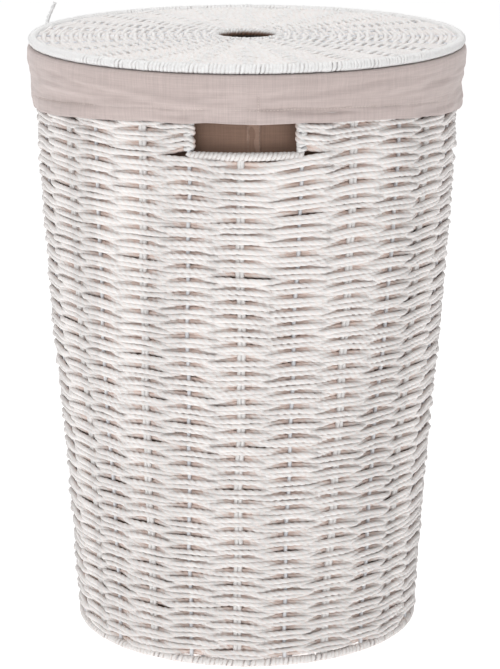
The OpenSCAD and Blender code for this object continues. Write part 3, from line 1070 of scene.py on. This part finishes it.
def creases(angle, z):
    """Depth of the placed creases and of random ones, 70 anywhere and 40 by the hem."""
    rng = np.random.default_rng(45)
    placed = list(PLACED_CREASES)
    for _ in range(70):
        placed.append((
            rng.uniform(-180, 180), rng.uniform(512, 544), rng.uniform(5, 20),
            rng.uniform(-0.4, 0.4), rng.normal(0, 0.6)
        ))
    for _ in range(40):
        middle = rng.uniform(-180, 180)
        placed.append((
            middle, cuff_edge(middle) + rng.uniform(2, 13), rng.uniform(4, 14),
            rng.uniform(-0.15, 0.15), rng.normal(0, 0.6)
        ))
    total = 0
    for middle, height, half, rise, depth in placed:
        off = np.mod(angle - middle + 180, 360) - 180
        line = height + rise * off
        window = np.exp(-(off / half) ** 4)
        total = total + depth * window * np.exp(-((z - line) / (1.6 + 1.1 * abs(depth))) ** 2)
    return total


def build_cuff():
    around = 660
    angle = even_angles(around)
    hanging = np.linspace(HANG_FROM + 0.015, 1, 60)
    t = np.concatenate([np.linspace(0, HANG_FROM, 14), hanging])[:, None]
    r, z, hang, edge = cuff_mid(angle[None], t)
    above = z - edge
    loose = np.clip(hang * 4, 0, 1)
    long_folds = ripples(angle, z, 42, 10, 0.8, (3, 14), (0.08, 0.35))
    small = ripples(angle, z, 43, 12, 0.28, (14, 70), (0.15, 0.6))
    pucker = ripples(angle, z, 44, 6, 0.3, (60, 130), (0, 0.05))
    seam = np.exp(-((above - HEM_H) / 1.3) ** 2)
    puffed = np.clip(1 - (above - 6) ** 2 / 60, 0, 1)
    join = np.exp(-((from_handle(angle) - CUFF_SEAM) / 0.35) ** 2) * (np.abs(angle - 180) > 90)
    folds = long_folds + small + np.clip(creases(angle, z), -1.6, 1.4)
    r = r + loose * folds - 0.55 * seam + 0.35 * puffed
    r = r + pucker * np.clip(1 - np.abs(above - HEM_H) / 9, 0, 1) - 0.45 * join * loose
    mid = polar(angle[None], z, r)
    return make_piece(
        "liner_cuff_cloth", [cloth_shell(mid, CLOTH_T)], LINEN, "liner",
        ["liner_cuff"]
    )


def stitch(points, ref, seed):
    """Short stitches of thread; points is (stitches, 4, 3)."""
    return sweep(points, ref, 0.28, seed, sides=6, dip=0, swell=0)


def build_cuff_parts():
    around = 480
    angle = even_angles(around)
    t = np.linspace(0, 1, 8)[:, None]
    edge = cuff_edge(angle)
    z = edge[None] + 0.4 + (HEM_H - 0.8) * t
    r = np.interp(z, CUFF_PROFILE_Z, CUFF_PROFILE_R) - 1.9
    r = r - 0.9 * np.abs(t - 0.5)
    hem = make_piece(
        "liner_hem_fold", [cloth_shell(polar(angle[None], z, r), 0.8)], LINEN, "liner",
        ["liner_hem"]
    )
    band = edge[None] + 2.2 + 6.5 * t
    ribs = 0.12 * np.sin(np.radians(angle) * 240)
    r = np.interp(band, CUFF_PROFILE_Z, CUFF_PROFILE_R) - 1.05 + ribs
    elastic = make_piece(
        "liner_elastic_band", [cloth_shell(polar(angle[None], band, r), 0.5)], ELASTIC,
        "liner", ["liner_elastic"]
    )
    stitches = 420
    middle = even_angles(stitches)
    along = np.linspace(-0.5, 0.5, 4) * 0.52
    a = middle[:, None] + along[None]
    z = cuff_edge(a) + HEM_H
    r = np.interp(z, CUFF_PROFILE_Z, CUFF_PROFILE_R) + 0.15
    path = polar(a, z, r)
    hem_stitches = stitch(path, outward(path), 71)
    z_mid = np.arange(509, 545, 2.3)
    z = z_mid[:, None] + np.linspace(-0.8, 0.8, 4)[None]
    r = np.interp(z, CUFF_PROFILE_Z, CUFF_PROFILE_R) + 0.2
    path = polar(np.full(z.shape, CUFF_SEAM + 0.35), z, r)
    seam_stitches = stitch(path, outward(path), 72)
    threads = make_piece(
        "liner_cuff_stitches", [hem_stitches, seam_stitches], THREAD, "liner"
    )
    return hem, elastic, threads


def build_floor_cloth():
    rings, around = 40, 160
    angle = even_angles(around)
    low, high = corners("liner_base")
    radius = np.linspace(0.6, high[0], rings)[:, None] + 0 * angle
    lift = np.clip(ripples(angle, radius, 51, 12, 0.5, (1, 8), (0.03, 0.16)), -0.8, 2)
    z = (low[2] + high[2]) / 2 + 0.5 + lift * np.clip((high[0] - radius) / 20, 0, 1)
    mid = polar(angle[None], z, radius)
    flat_uv = mid[..., :2] * MM
    return make_piece(
        "liner_base_cloth", [cloth_shell(mid[::-1], CLOTH_T, uv=flat_uv[::-1])], LINEN,
        "liner", ["liner_base"]
    )


# Width of the strip sewn over the bag's seam
SEAM_W = 12.0


def build_seam():
    low, high = corners("liner_seam")
    z = np.linspace(low[2], high[2], 160)[:, None]
    across = np.linspace(0, SEAM_W, 9)[None]
    r0 = bag_r(z) + CLOTH_T / 2 + 0.5
    wave = 0.25 * np.sin(z / 7.3) + 0.2 * np.sin(z / 3.1 + across / 4)
    r = r0 + wave + 0.25 * np.cos(across / SEAM_W * TURN)
    mid = polar(np.degrees(across / r0), z, r)
    strip = cloth_shell(mid[::-1], 0.8, closed=False, uv=np.stack(
        np.broadcast_arrays(across * MM, z * MM), -1
    )[::-1])
    z_mid = np.arange(low[2] + 3, high[2] - 3, 3.4)
    zs = z_mid[:, None] + np.linspace(-1.1, 1.1, 4)[None]
    parts = []
    for k, offset in enumerate((1.2, SEAM_W - 1.2)):
        r = bag_r(zs) + CLOTH_T / 2 + 1.1
        path = polar(np.degrees(offset / r), zs, r)
        parts.append(stitch(path, outward(path), 80 + k))
    # The strip and its stitches take the darkened linen and thread: painted shade
    seam = make_piece(
        "liner_seam_strip", [strip], SHADED_SEAM_LINEN, "liner", ["liner_seam"]
    )
    threads = make_piece(
        "liner_seam_stitches", parts, SHADED_BAG_THREAD, "liner"
    )
    return seam, threads


def build_liner():
    bag = build_bag()
    cuff = build_cuff()
    hem, elastic, cuff_threads = build_cuff_parts()
    floor = build_floor_cloth()
    seam, seam_threads = build_seam()


build_liner()


# --- The lid's loose end of cord ---

TAIL_D = 3.8

# The tail's centreline in metres, as tail_route in part.scad
TAIL_ROUTE = [
    (-0.1896, 0.0742, 0.543), (-0.1896, 0.0743, 0.549), (-0.1890, 0.0744, 0.555),
    (-0.1878, 0.0746, 0.560), (-0.1862, 0.0749, 0.564), (-0.1844, 0.0752, 0.568),
    (-0.1825, 0.0756, 0.572), (-0.1807, 0.0760, 0.5756)
]


def build_tail():
    route = np.array(TAIL_ROUTE)
    t = np.linspace(0, 1, len(route))
    fine = np.linspace(0, 1, 19)
    path = np.stack([np.interp(fine, t, route[:, k]) for k in range(3)], -1)
    for _ in range(3):
        path[1:-1] = path[1:-1] * 0.5 + (path[:-2] + path[2:]) * 0.25
    part = sweep(path[None] / MM, np.array([0.0, 1.0, 0.0]), TAIL_D / 2, 91, lay=10, sides=12)
    tail = make_piece("lid_cord_end", [part], LID_CORD, "lid", ["lid_tail"])


build_tail()


# --- The CAD nodes that stay are all wires ---

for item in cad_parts.values():
    if not item.hide_render:
        item.data.materials.clear()
        item.data.materials.append(WIRE)


# --- Studio ---

def make_floor():
    mesh = bpy.data.meshes.new("floor")
    half = 60.0
    points = [(-half, -half, 0), (half, -half, 0), (half, half, 0), (-half, half, 0)]
    mesh.from_pydata(points, [], [(0, 1, 2, 3)])
    n = Nodes("floor_finish")
    place = n.add("ShaderNodeTexCoord")
    speck = n.noise(place, "Object", 3, 2)
    colour = n.ramp(speck, "Fac", [(0.3, (0.93, 0.93, 0.93)), (0.7, (0.94, 0.94, 0.94))])
    mesh.materials.append(n.finish((colour, "Color"), None, 0.9))
    n.shader.inputs["Emission Color"].default_value = (1, 1, 1, 1)
    n.shader.inputs["Emission Strength"].default_value = 0.7
    floor = bpy.data.objects.new("floor", mesh)
    bpy.context.scene.collection.objects.link(floor)


# Every light aims at the middle of the basket, in metres
AIM = (0, 0, 0.3)


def soft_light(name, place, size, power):
    data = bpy.data.lights.new(name, "AREA")
    data.shape = "RECTANGLE"
    data.size, data.size_y = size
    data.energy = power
    lamp = bpy.data.objects.new(name, data)
    lamp.location = place
    offset = np.array(AIM) - np.array(place)
    flat = math.hypot(offset[0], offset[1])
    lamp.rotation_euler = (
        math.pi / 2 + math.atan2(offset[2], flat), 0, math.atan2(-offset[0], offset[1])
    )
    bpy.context.scene.collection.objects.link(lamp)


def make_studio():
    make_floor()
    soft_light("key", (-1.1, -3.1, 1.8), (2.4, 2.0), 28)
    soft_light("side", (-2.8, -1.0, 1.2), (1.6, 1.6), 10)
    soft_light("fill", (2.4, -2.2, 1.2), (1.6, 1.6), 8)
    soft_light("top", (0, -0.1, 2.6), (2.0, 2.0), 39)
    world = bpy.data.worlds.new("studio")
    world.use_nodes = True
    background = world.node_tree.nodes["Background"]
    background.inputs["Color"].default_value = (1.0, 1.0, 1.0, 1)
    background.inputs["Strength"].default_value = 0.28
    bpy.context.scene.world = world
    bpy.context.scene.view_settings.view_transform = "Standard"


make_studio()
